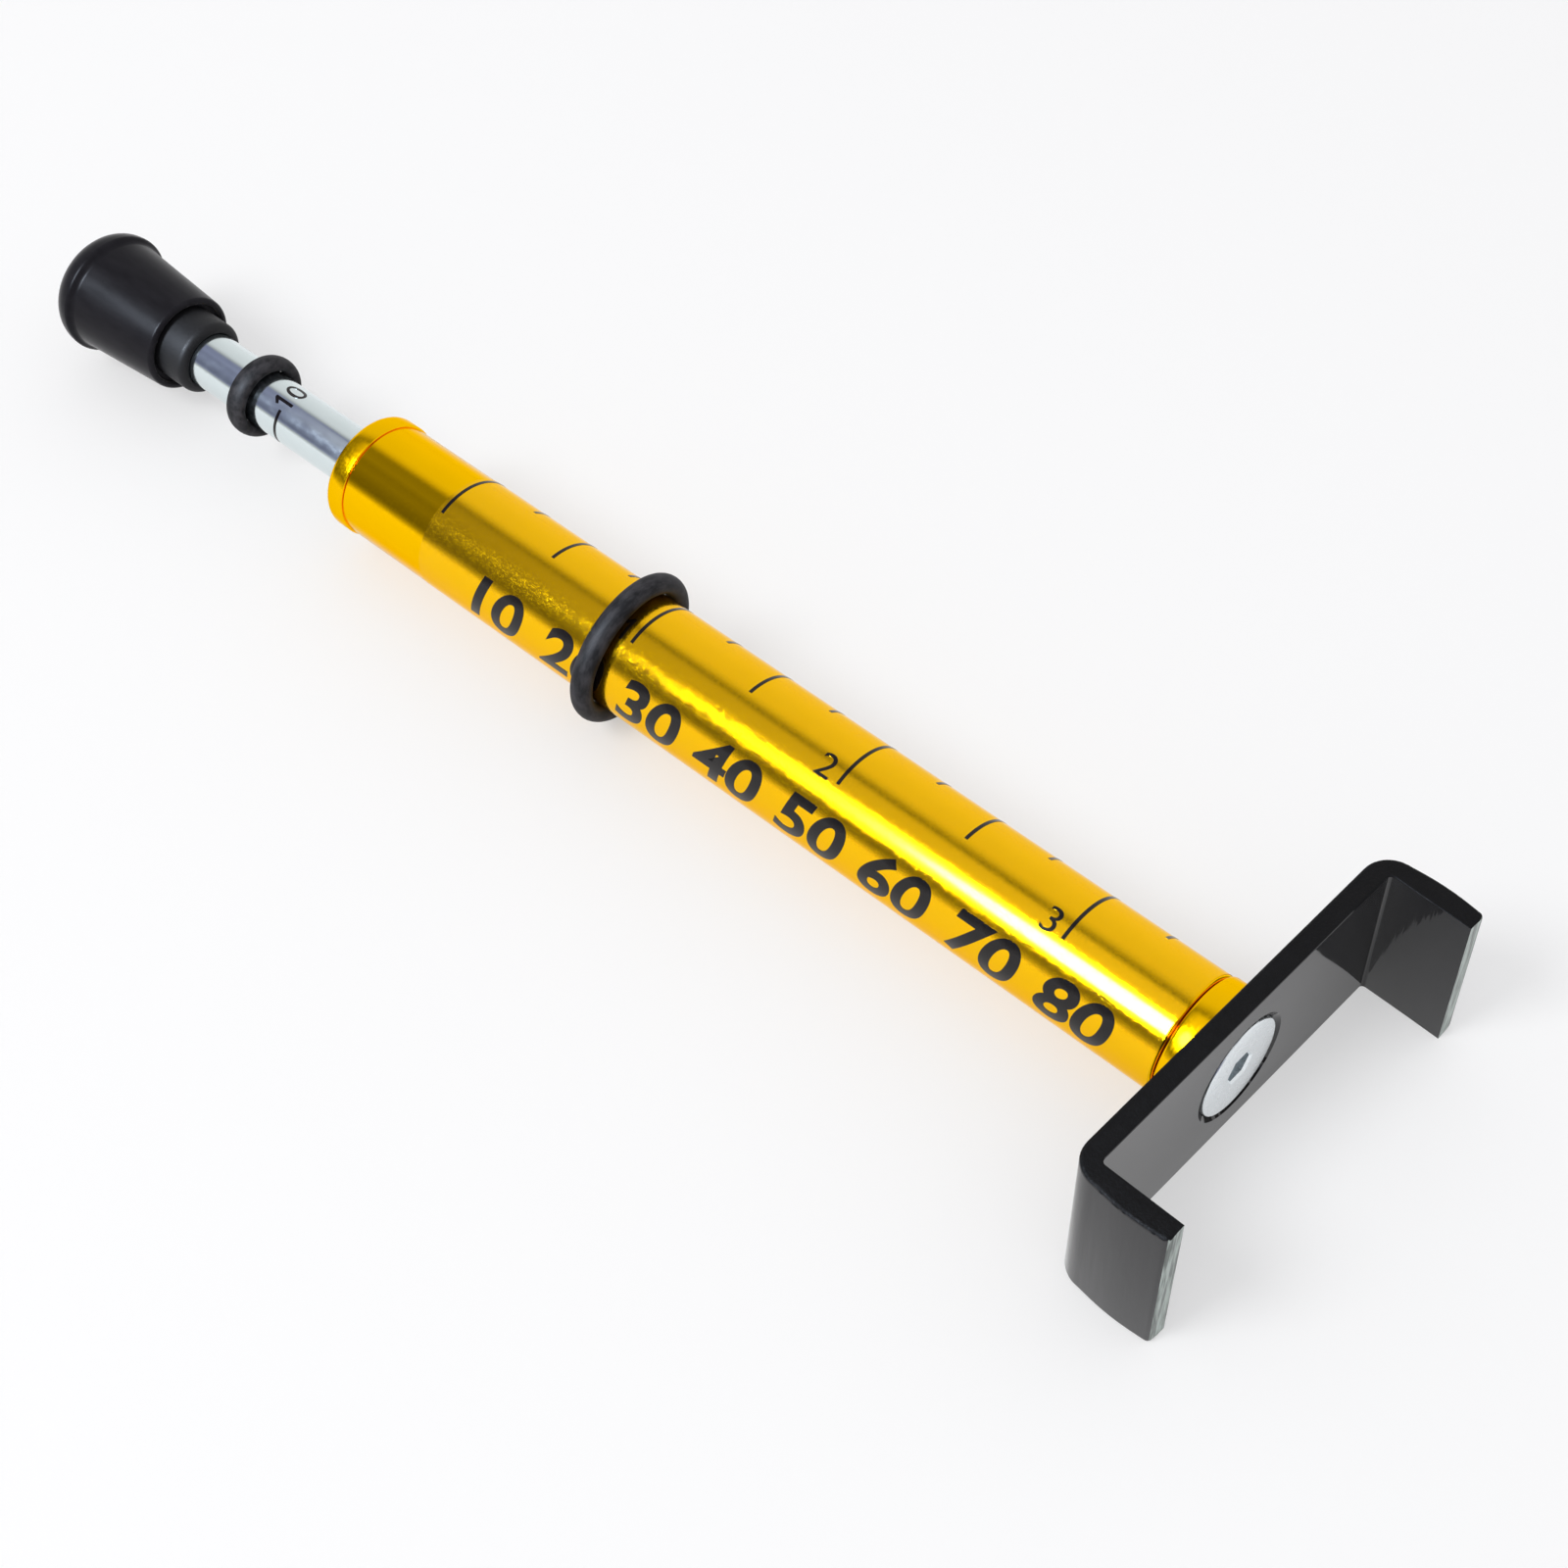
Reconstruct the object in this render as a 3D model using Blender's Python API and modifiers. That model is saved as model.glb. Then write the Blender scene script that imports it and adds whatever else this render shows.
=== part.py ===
"""Belt tension gauge: a spring plunger in a scaled barrel, with a cradle that sits on the belt.

The gauge lies along X. The cradle that meets the belt is at +X, and the grip that is pushed is at -X.
It rests on the cradle's lower edges and on the barrel's large ring, with Z = 0 under both.
All lengths are in metres. Sizes along the gauge are counted from the barrel's open end.
"""
import math

import bmesh
import bpy
from mathutils import Vector

# Clearances
FIT_GAP = 0.00015
SEAT_GAP = 0.00015
CUT_OVERRUN = 0.001

# Barrel, its two end fittings and the bush
BARREL_RADIUS = 0.0060
BARREL_WALL = 0.0010
BARREL_LENGTH = 0.10025
BARREL_CHAMFER = 0.0002
FLANGE_PROUD = 0.00018
CAP_FLANGE_LENGTH = 0.00225
CAP_SPIGOT_LENGTH = 0.0095
CAP_EDGE_ROUND = 0.0007
PLUG_FLANGE_LENGTH = 0.0024
PLUG_SPIGOT_LENGTH = 0.0090
PLUG_EDGE_ROUND = 0.0003
PLUG_HOLE_END_WALL = 0.0012
BUSH_WALL = 0.0009
BUSH_LIP_LENGTH = 0.0010

# Plunger rod and what rides on its inner end
ROD_RADIUS = 0.0030
ROD_EXPOSED = 0.0245
ROD_CHAMFER = 0.0004
BUMPER_LENGTH = 0.0012
BUMPER_INSET = 0.0002
FOLLOWER_LENGTH = 0.0040
PILOT_LENGTH = 0.0030
PILOT_CLEARANCE = 0.00025
TAIL_STEP = 0.0010
TAIL_BEYOND_CLIP = 0.0010
CLIP_THICKNESS = 0.0006
CLIP_INSET = 0.0002
CLIP_GROOVE_DEPTH = 0.0005
CLIP_MOUTH_WIDTH = 0.0024

# Measuring spring and its seat
WIRE_RADIUS = 0.0007
COIL_CLEARANCE = 0.0004
ACTIVE_COILS = 20
CLOSED_COILS = 1
CLOSED_COIL_GAP = 0.0005
SEAT_WASHER_LENGTH = 0.0010
SEAT_WASHER_WALL = 0.0022

# Grip and its ferrule
GRIP_LENGTH = 0.01515
GRIP_FRONT_RADIUS = 0.0052
GRIP_FRONT_ROUND = 0.0006
GRIP_BACK_RADIUS = 0.00605
GRIP_RIM_RADIUS = 0.0066
GRIP_RIM_LENGTH = 0.0032
GRIP_DOME_ROUND = 0.0029
GRIP_RIM_STEP = 0.0004
GRIP_MOUTH_DEPTH = 0.0008
GRIP_MOUTH_WIDTH = 0.0006
NECK_RADIUS = 0.0040
NECK_LENGTH = 0.00365
NOSE_ROUND = 0.0008
FERRULE_DEPTH_IN_GRIP = 0.0095
ROD_DEPTH_IN_FERRULE = 0.0110

# Rubber rings, placed by the distance of their middle from the cap's face and from the barrel's end
ROD_RING_PLACE = 0.0163
ROD_RING_WALL = 0.0013
ROD_RING_WIDTH = 0.0024
BARREL_RING_PLACE = 0.0338
BARREL_RING_WALL = 0.00185
BARREL_RING_WIDTH = 0.0023

# Belt cradle and its screw
CRADLE_SPAN = 0.0431
CRADLE_DEPTH = 0.0104
CRADLE_WIDTH = 0.0160
CRADLE_SHEET = 0.0021
CRADLE_BEND_RADIUS = 0.0008
CRADLE_EDGE_ROUND = 0.00025
COUNTERSINK_RADIUS = 0.0056
SCREW_RADIUS = 0.0025
SCREW_HEAD_CLEARANCE = 0.0006
SCREW_SEAT_GAP = 0.00025
SCREW_LENGTH = 0.0100
SCREW_TIP_CHAMFER = 0.0005
HEX_ACROSS_FLATS = 0.0030
HEX_DEPTH = 0.0016

# Facets round a turned piece, outside and inside
OUTER_STEPS = 48
INNER_STEPS = 32
ROUND_POINTS = 4
MERGE_DISTANCE = 0.00001

# Radii that follow from the sizes above
BORE_RADIUS = BARREL_RADIUS - BARREL_WALL
SPIGOT_RADIUS = BORE_RADIUS - FIT_GAP
FLANGE_RADIUS = BARREL_RADIUS + FLANGE_PROUD
TAIL_RADIUS = ROD_RADIUS - TAIL_STEP
COIL_RADIUS = BORE_RADIUS - COIL_CLEARANCE - WIRE_RADIUS
PILOT_RADIUS = COIL_RADIUS - WIRE_RADIUS - PILOT_CLEARANCE
SCREW_HEAD_RADIUS = COUNTERSINK_RADIUS - SCREW_HEAD_CLEARANCE
SCREW_HEAD_RIM = SCREW_HEAD_CLEARANCE - SCREW_SEAT_GAP

# Places along the gauge, from the barrel's open end
CAP_FACE = -SEAT_GAP - CAP_FLANGE_LENGTH
NOSE_FACE = CAP_FACE - ROD_EXPOSED
GRIP_FRONT = NOSE_FACE - NECK_LENGTH
GRIP_END = GRIP_FRONT - GRIP_LENGTH
FERRULE_END = GRIP_FRONT - FERRULE_DEPTH_IN_GRIP
ROD_START = NOSE_FACE - ROD_DEPTH_IN_FERRULE
SPIGOT_END = CAP_SPIGOT_LENGTH
BUSH_LIP_START = SPIGOT_END + SEAT_GAP
BUMPER_START = BUSH_LIP_START + BUSH_LIP_LENGTH + SEAT_GAP
FOLLOWER_START = BUMPER_START + BUMPER_LENGTH + SEAT_GAP
FOLLOWER_SHOULDER = FOLLOWER_START + FOLLOWER_LENGTH
FOLLOWER_END = FOLLOWER_SHOULDER + PILOT_LENGTH
CLIP_START = FOLLOWER_END + SEAT_GAP
CLIP_END = CLIP_START + CLIP_THICKNESS
ROD_END = CLIP_END + SEAT_GAP + TAIL_BEYOND_CLIP
PLUG_SPIGOT_START = BARREL_LENGTH - PLUG_SPIGOT_LENGTH
WASHER_START = PLUG_SPIGOT_START - SEAT_GAP - SEAT_WASHER_LENGTH
PLUG_FLANGE_START = BARREL_LENGTH + SEAT_GAP
PLUG_FACE = PLUG_FLANGE_START + PLUG_FLANGE_LENGTH
CRADLE_BACK = PLUG_FACE + SEAT_GAP
CRADLE_FACE = CRADLE_BACK + CRADLE_SHEET
CRADLE_TIP = CRADLE_BACK + CRADLE_DEPTH
AXIS_HEIGHT = max(CRADLE_WIDTH / 2, BARREL_RADIUS + FIT_GAP + BARREL_RING_WALL)
AXIS_START = -(GRIP_END + CRADLE_TIP) / 2


def start_empty_file():
    """Remove what the file holds and make the collections for the parts and for the cutters."""
    for thing in list(bpy.data.objects):
        bpy.data.objects.remove(thing, do_unlink=True)
    parts = bpy.data.collections.new("belt_tension_gauge")
    cutters = bpy.data.collections.new("cutters")
    for collection in (parts, cutters):
        bpy.context.scene.collection.children.link(collection)
    return parts, cutters


PARTS, CUTTERS = start_empty_file()


def material(name, colour, metallic, roughness):
    """A Principled material of one colour."""
    made = bpy.data.materials.new(name)
    made.use_nodes = True
    shader = made.node_tree.nodes["Principled BSDF"]
    shader.inputs["Base Color"].default_value = (*colour, 1.0)
    shader.inputs["Metallic"].default_value = metallic
    shader.inputs["Roughness"].default_value = roughness
    return made


def axis_empty(name, parent=None):
    """An empty on the gauge's axis whose own Z runs along the gauge's length."""
    empty = bpy.data.objects.new(name, None)
    empty.empty_display_size = BARREL_RADIUS
    PARTS.objects.link(empty)
    if parent:
        empty.parent = parent
    else:
        empty.location = (AXIS_START, 0, AXIS_HEIGHT)
        empty.rotation_euler = (0, math.radians(90), 0)
    return empty


def corner(radius_at, along_at, size, start_degrees, points=ROUND_POINTS):
    """Points of a quarter round about a centre, 90 degrees on from the start angle.

    Each point is (radius, place along the axis). Zero degrees points outwards from the axis and 90
    degrees points back along it, so that rising angles run down the outer side.
    """
    angles = [math.radians(start_degrees + 90 * step / points) for step in range(points + 1)]
    return [(radius_at + size * math.cos(a), along_at - size * math.sin(a)) for a in angles]


def turned(name, parent, surface, outline, steps=OUTER_STEPS, closed=True, collection=PARTS):
    """A turned body. The outline runs down the outer side as (radius, place along the axis)."""
    mesh = bpy.data.meshes.new(name)
    outline = [point for i, point in enumerate(outline) if math.dist(point, outline[i - 1]) > MERGE_DISTANCE]
    count = len(outline)
    edges = [(i, i + 1) for i in range(count - 1)]
    if closed:
        edges.append((count - 1, 0))
    mesh.from_pydata([(radius, 0, along) for radius, along in outline], edges, [])
    body = bpy.data.objects.new(name, mesh)
    collection.objects.link(body)
    body.parent = parent
    screw = body.modifiers.new("turn", "SCREW")
    screw.axis = "Z"
    screw.steps = steps
    screw.render_steps = steps
    screw.use_smooth_shade = False
    screw.use_merge_vertices = True
    screw.merge_threshold = MERGE_DISTANCE
    weld = body.modifiers.new("weld", "WELD")
    weld.merge_threshold = MERGE_DISTANCE
    if surface:
        mesh.materials.append(surface)
    return body


def cut(body, cutter):
    """Take the cutter's shape out of the body."""
    cutter.hide_render = True
    cutter.display_type = "WIRE"
    boolean = body.modifiers.new("cut", "BOOLEAN")
    boolean.operation = "DIFFERENCE"
    boolean.solver = "EXACT"
    boolean.object = cutter


def barrel_tube(parent, surface):
    outer = BARREL_RADIUS
    inner = BORE_RADIUS
    end = BARREL_LENGTH
    outline = [(inner + BARREL_CHAMFER, end), (outer - BARREL_CHAMFER, end), (outer, end - BARREL_CHAMFER),
               (outer, BARREL_CHAMFER), (outer - BARREL_CHAMFER, 0), (inner + BARREL_CHAMFER, 0),
               (inner, BARREL_CHAMFER), (inner, end - BARREL_CHAMFER)]
    return turned("barrel_tube", parent, surface, outline)


def rod_guide_cap(parent, surface):
    """The flange with a rounded outer edge, the spigot in the barrel and the bore for the bush."""
    bore = ROD_RADIUS + FIT_GAP + BUSH_WALL + FIT_GAP
    seam = -SEAT_GAP
    outline = [(bore, SPIGOT_END), (SPIGOT_RADIUS, SPIGOT_END), (SPIGOT_RADIUS, seam),
               (FLANGE_RADIUS - BARREL_CHAMFER, seam), (FLANGE_RADIUS, seam - BARREL_CHAMFER)]
    outline += corner(FLANGE_RADIUS - CAP_EDGE_ROUND, CAP_FACE + CAP_EDGE_ROUND, CAP_EDGE_ROUND, 0)
    outline += [(bore, CAP_FACE)]
    return turned("rod_guide_cap", parent, surface, outline)


def rod_guide_bush(parent, surface):
    inner = ROD_RADIUS + FIT_GAP
    outer = inner + BUSH_WALL
    lip_end = BUSH_LIP_START + BUSH_LIP_LENGTH
    outline = [(inner, lip_end), (SPIGOT_RADIUS, lip_end), (SPIGOT_RADIUS, BUSH_LIP_START),
               (outer, BUSH_LIP_START), (outer, CAP_FACE), (inner, CAP_FACE)]
    return turned("rod_guide_bush", parent, surface, outline, INNER_STEPS)


def return_bumper(parent, surface):
    inner = ROD_RADIUS + FIT_GAP
    outer = SPIGOT_RADIUS - BUMPER_INSET
    outline = [(inner, BUMPER_START + BUMPER_LENGTH), (outer, BUMPER_START + BUMPER_LENGTH),
               (outer, BUMPER_START), (inner, BUMPER_START)]
    return turned("return_bumper", parent, surface, outline, INNER_STEPS)


def cradle_end_plug(parent, surface):
    """The plug in the barrel's end, with a blind hole for the cradle's screw."""
    hole = SCREW_RADIUS + FIT_GAP
    hole_end = PLUG_SPIGOT_START + PLUG_HOLE_END_WALL
    mouth = COUNTERSINK_RADIUS - CRADLE_SHEET
    outline = [(0, hole_end), (hole, hole_end), (hole, PLUG_FACE - (mouth - hole)), (mouth, PLUG_FACE)]
    outline += corner(FLANGE_RADIUS - PLUG_EDGE_ROUND, PLUG_FACE - PLUG_EDGE_ROUND, PLUG_EDGE_ROUND, -90)
    outline += [(FLANGE_RADIUS, PLUG_FLANGE_START + BARREL_CHAMFER),
                (FLANGE_RADIUS - BARREL_CHAMFER, PLUG_FLANGE_START), (SPIGOT_RADIUS, PLUG_FLANGE_START),
                (SPIGOT_RADIUS, PLUG_SPIGOT_START), (0, PLUG_SPIGOT_START)]
    return turned("cradle_end_plug", parent, surface, outline, closed=False)


def spring_seat_washer(parent, surface):
    inner = SPIGOT_RADIUS - SEAT_WASHER_WALL
    end = WASHER_START + SEAT_WASHER_LENGTH
    outline = [(inner, end), (SPIGOT_RADIUS, end), (SPIGOT_RADIUS, WASHER_START), (inner, WASHER_START)]
    return turned("spring_seat_washer", parent, surface, outline, INNER_STEPS)


def plunger_rod(parent, surface):
    """The rod from inside the ferrule to its thinner tail, which has a groove for the clip."""
    shoulder = FOLLOWER_START - SEAT_GAP
    groove = TAIL_RADIUS - CLIP_GROOVE_DEPTH
    outline = [(0, ROD_END), (TAIL_RADIUS - ROD_CHAMFER, ROD_END), (TAIL_RADIUS, ROD_END - ROD_CHAMFER),
               (TAIL_RADIUS, CLIP_END + SEAT_GAP), (groove, CLIP_END + SEAT_GAP),
               (groove, CLIP_START - SEAT_GAP), (TAIL_RADIUS, CLIP_START - SEAT_GAP),
               (TAIL_RADIUS, shoulder), (ROD_RADIUS, shoulder), (ROD_RADIUS, ROD_START + ROD_CHAMFER),
               (ROD_RADIUS - ROD_CHAMFER, ROD_START), (0, ROD_START)]
    return turned("plunger_rod", parent, surface, outline, INNER_STEPS, closed=False)


def spring_follower(parent, surface):
    inner = TAIL_RADIUS + FIT_GAP
    outline = [(inner, FOLLOWER_END), (PILOT_RADIUS, FOLLOWER_END), (PILOT_RADIUS, FOLLOWER_SHOULDER),
               (SPIGOT_RADIUS, FOLLOWER_SHOULDER), (SPIGOT_RADIUS, FOLLOWER_START), (inner, FOLLOWER_START)]
    return turned("spring_follower", parent, surface, outline, INNER_STEPS)


def follower_clip(parent, surface):
    """A flat snap ring in the tail's groove, open at one side."""
    inner = TAIL_RADIUS - CLIP_GROOVE_DEPTH + FIT_GAP
    outer = PILOT_RADIUS - CLIP_INSET
    outline = [(inner, CLIP_END), (outer, CLIP_END), (outer, CLIP_START), (inner, CLIP_START)]
    ring = turned("follower_clip", parent, surface, outline, INNER_STEPS)
    mesh = bpy.data.meshes.new("clip_mouth")
    box = bmesh.new()
    bmesh.ops.create_cube(box, size=1)
    length = outer + CUT_OVERRUN
    height = CLIP_THICKNESS + 2 * CUT_OVERRUN
    bmesh.ops.scale(box, vec=(length, CLIP_MOUTH_WIDTH, height), verts=box.verts)
    bmesh.ops.translate(box, vec=(length / 2, 0, (CLIP_START + CLIP_END) / 2), verts=box.verts)
    box.to_mesh(mesh)
    box.free()
    mouth = bpy.data.objects.new("clip_mouth", mesh)
    CUTTERS.objects.link(mouth)
    mouth.parent = parent
    cut(ring, mouth)
    return ring


def spring_points():
    """The middle of the wire: closed coils at both ends and evenly wound coils between them."""
    start = FOLLOWER_SHOULDER + SEAT_GAP + WIRE_RADIUS
    end = WASHER_START - SEAT_GAP - WIRE_RADIUS
    closed_pitch = 2 * WIRE_RADIUS + CLOSED_COIL_GAP
    pitch = (end - start - 2 * CLOSED_COILS * closed_pitch) / ACTIVE_COILS
    coils = ACTIVE_COILS + 2 * CLOSED_COILS
    points = []
    for step in range(coils * INNER_STEPS // 4 + 1):
        turn = step / (INNER_STEPS // 4)
        closed_turns = min(turn, CLOSED_COILS) + max(0, turn - CLOSED_COILS - ACTIVE_COILS)
        along = start + closed_turns * closed_pitch + (turn - closed_turns) * pitch
        angle = 2 * math.pi * turn
        points.append(Vector((COIL_RADIUS * math.cos(angle), COIL_RADIUS * math.sin(angle), along)))
    return points


def least_gap_to_itself(points, wire_radius, per_coil):
    """The smallest gap between wire surfaces that lie at least half a coil apart along the wire."""
    gaps = [(a - b).length for i, a in enumerate(points) for b in points[i + per_coil // 2:]]
    return min(gaps) - 2 * wire_radius


def compression_spring(parent, surface):
    points = spring_points()
    curve = bpy.data.curves.new("compression_spring", "CURVE")
    curve.dimensions = "3D"
    curve.bevel_depth = WIRE_RADIUS
    curve.bevel_resolution = 1
    curve.use_fill_caps = True
    line = curve.splines.new("POLY")
    line.points.add(len(points) - 1)
    for point, place in zip(line.points, points):
        point.co = (*place, 1)
    curve.materials.append(surface)
    body = bpy.data.objects.new("compression_spring", curve)
    PARTS.objects.link(body)
    body.parent = parent
    gap = least_gap_to_itself(points, WIRE_RADIUS, INNER_STEPS // 4)
    print(f"compression_spring: least gap to itself {gap:.5f} m")
    return body


def knob_core(parent, surface):
    """The ferrule: a round-nosed neck, a blind bore for the rod and a plain shank in the grip."""
    bore = ROD_RADIUS + FIT_GAP
    bore_end = ROD_START - SEAT_GAP
    nose = min(NOSE_ROUND, NECK_RADIUS - bore)
    outline = [(0, bore_end), (bore, bore_end), (bore, NOSE_FACE)]
    outline += corner(NECK_RADIUS - nose, NOSE_FACE - nose, nose, -90)
    outline += [(NECK_RADIUS, FERRULE_END), (0, FERRULE_END)]
    return turned("knob_core", parent, surface, outline, closed=False)


def grip_knob(parent, surface):
    """The rubber grip: a recessed mouth round the neck, a slight taper, a proud rim and a domed end."""
    pocket = NECK_RADIUS + FIT_GAP
    pocket_end = FERRULE_END - SEAT_GAP
    mouth = NECK_RADIUS + GRIP_MOUTH_WIDTH
    rim_start = GRIP_END + GRIP_RIM_LENGTH
    lip = min(GRIP_FRONT_ROUND, GRIP_FRONT_RADIUS - mouth)
    dome = GRIP_DOME_ROUND
    outline = [(0, pocket_end), (pocket, pocket_end), (pocket, GRIP_FRONT - GRIP_MOUTH_DEPTH),
               (mouth, GRIP_FRONT - GRIP_MOUTH_DEPTH), (mouth, GRIP_FRONT)]
    outline += corner(GRIP_FRONT_RADIUS - lip, GRIP_FRONT - lip, lip, -90)
    outline += [(GRIP_BACK_RADIUS, rim_start + GRIP_RIM_STEP), (GRIP_RIM_RADIUS, rim_start)]
    outline += corner(GRIP_RIM_RADIUS - dome, GRIP_END + dome, dome, 0, 2 * ROUND_POINTS)
    outline += [(0, GRIP_END)]
    return turned("grip_knob", parent, surface, outline, closed=False)


def rubber_ring(name, parent, surface, bore, wall, width, place, steps):
    """A rubber ring of slightly flattened round section, snug on what it grips."""
    inner = bore + FIT_GAP
    sides = 3 * ROUND_POINTS
    outline = []
    for step in range(sides):
        angle = 2 * math.pi * step / sides
        outline.append((inner + wall / 2 * (1 + math.cos(angle)), place - width / 2 * math.sin(angle)))
    return turned(name, parent, surface, outline, steps)


def belt_cradle(parent, surface):
    """A strip bent to a U, open towards the belt, with a countersunk hole for the screw."""
    bend = CRADLE_BEND_RADIUS + CRADLE_SHEET
    half = CRADLE_SPAN / 2
    side = [(CRADLE_TIP, half)]
    for step in range(2 * ROUND_POINTS + 1):
        angle = math.radians(90 * step / (2 * ROUND_POINTS))
        side.append((CRADLE_BACK + bend * (1 - math.sin(angle)), half - bend * (1 - math.cos(angle))))
    path = side + [(along, -across) for along, across in reversed(side)]
    mesh = bpy.data.meshes.new("belt_cradle")
    strip = bmesh.new()
    low = [strip.verts.new((CRADLE_WIDTH / 2, across, along)) for along, across in path]
    lines = [strip.edges.new(pair) for pair in zip(low, low[1:])]
    swept = bmesh.ops.extrude_edge_only(strip, edges=lines)
    high = [piece for piece in swept["geom"] if isinstance(piece, bmesh.types.BMVert)]
    bmesh.ops.translate(strip, vec=(-CRADLE_WIDTH, 0, 0), verts=high)
    bmesh.ops.recalc_face_normals(strip, faces=strip.faces)
    strip.faces.ensure_lookup_table()
    middle = min(strip.faces, key=lambda face: abs(face.calc_center_median().y))
    if middle.normal.z > 0:
        bmesh.ops.reverse_faces(strip, faces=strip.faces)
    strip.to_mesh(mesh)
    strip.free()
    mesh.materials.append(surface)
    body = bpy.data.objects.new("belt_cradle", mesh)
    PARTS.objects.link(body)
    body.parent = parent
    solid = body.modifiers.new("sheet", "SOLIDIFY")
    solid.thickness = CRADLE_SHEET
    solid.offset = -1
    solid.use_even_offset = True
    edge = body.modifiers.new("edges", "BEVEL")
    edge.width = CRADLE_EDGE_ROUND
    edge.segments = 1
    edge.angle_limit = math.radians(60)
    floor = COUNTERSINK_RADIUS - CRADLE_SHEET
    cone = [(0, CRADLE_FACE + CUT_OVERRUN), (COUNTERSINK_RADIUS + CUT_OVERRUN, CRADLE_FACE + CUT_OVERRUN),
            (floor - CUT_OVERRUN, CRADLE_BACK - CUT_OVERRUN), (0, CRADLE_BACK - CUT_OVERRUN)]
    cut(body, turned("screw_countersink", parent, None, cone, closed=False, collection=CUTTERS))
    return body


def cradle_screw(parent, surface):
    """A countersunk screw whose head lies level with the cradle's face, with a hexagon socket."""
    top = CRADLE_FACE
    cone_end = top - SCREW_HEAD_RIM - (SCREW_HEAD_RADIUS - SCREW_RADIUS)
    tip = top - SCREW_LENGTH
    outline = [(0, top), (SCREW_HEAD_RADIUS - SCREW_HEAD_RIM / 3, top),
               (SCREW_HEAD_RADIUS, top - SCREW_HEAD_RIM / 3), (SCREW_HEAD_RADIUS, top - SCREW_HEAD_RIM),
               (SCREW_RADIUS, cone_end), (SCREW_RADIUS, tip + SCREW_TIP_CHAMFER),
               (SCREW_RADIUS - SCREW_TIP_CHAMFER, tip), (0, tip)]
    body = turned("cradle_screw", parent, surface, outline, closed=False)
    mesh = bpy.data.meshes.new("hexagon_socket")
    socket = bmesh.new()
    corner_radius = HEX_ACROSS_FLATS / 2 / math.cos(math.radians(30))
    bmesh.ops.create_cone(socket, cap_ends=True, segments=6, radius1=corner_radius, radius2=corner_radius,
                          depth=2 * HEX_DEPTH)
    bmesh.ops.translate(socket, vec=(0, 0, top), verts=socket.verts)
    socket.to_mesh(mesh)
    socket.free()
    cutter = bpy.data.objects.new("hexagon_socket", mesh)
    CUTTERS.objects.link(cutter)
    cutter.parent = parent
    cut(body, cutter)
    return body


def build():
    gold = material("gold_anodised", (0.86, 0.50, 0.02), 1.0, 0.22)
    black_metal = material("black_gloss", (0.012, 0.012, 0.013), 0.2, 0.20)
    steel = material("polished_steel", (0.72, 0.74, 0.78), 1.0, 0.08)
    zinc = material("bright_zinc", (0.70, 0.71, 0.73), 1.0, 0.25)
    rubber = material("black_rubber", (0.025, 0.025, 0.028), 0.0, 0.55)
    black_plastic = material("black_plastic", (0.02, 0.02, 0.022), 0.0, 0.35)
    brass = material("bush_brass", (0.62, 0.43, 0.16), 1.0, 0.35)
    spring_steel = material("spring_steel", (0.45, 0.45, 0.46), 1.0, 0.30)

    barrel = axis_empty("barrel_axis")
    follower = axis_empty("follower_slide_axis", barrel)
    rod = axis_empty("rod_spin_axis", follower)
    rod_ring = axis_empty("rod_ring_slide_axis", rod)
    barrel_ring = axis_empty("barrel_ring_slide_axis", barrel)

    barrel_tube(barrel, gold)
    rod_guide_cap(barrel, gold)
    rod_guide_bush(barrel, brass)
    return_bumper(barrel, rubber)
    cradle_end_plug(barrel, gold)
    spring_seat_washer(barrel, zinc)
    compression_spring(barrel, spring_steel)
    belt_cradle(barrel, black_metal)
    cradle_screw(barrel, zinc)
    spring_follower(follower, zinc)
    plunger_rod(rod, steel)
    follower_clip(rod, spring_steel)
    knob_core(rod, black_plastic)
    grip_knob(rod, rubber)
    rubber_ring("rod_o_ring", rod_ring, rubber, ROD_RADIUS, ROD_RING_WALL, ROD_RING_WIDTH,
                CAP_FACE - ROD_RING_PLACE, INNER_STEPS)
    rubber_ring("barrel_o_ring", barrel_ring, rubber, BARREL_RADIUS, BARREL_RING_WALL, BARREL_RING_WIDTH,
                BARREL_RING_PLACE, OUTER_STEPS)
    for thing in PARTS.objects:
        if thing.type == "MESH":
            thing.data.shade_smooth()
    bpy.context.view_layer.update()


build()
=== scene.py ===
"""Belt tension gauge: the finished surfaces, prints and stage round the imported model.

The gauge lies along X, with the belt cradle at +X and the grip at -X. All lengths are in metres.
Places round the gauge are angles in degrees, from the back (+Y) over the top (90) to the front (180).
A turned piece's outline is a list of (place along the gauge, radius, round); the round may be left out.
"""
import math

import bmesh
import bpy
from mathutils import Matrix, Vector
from mathutils.noise import noise as noise_at


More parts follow.
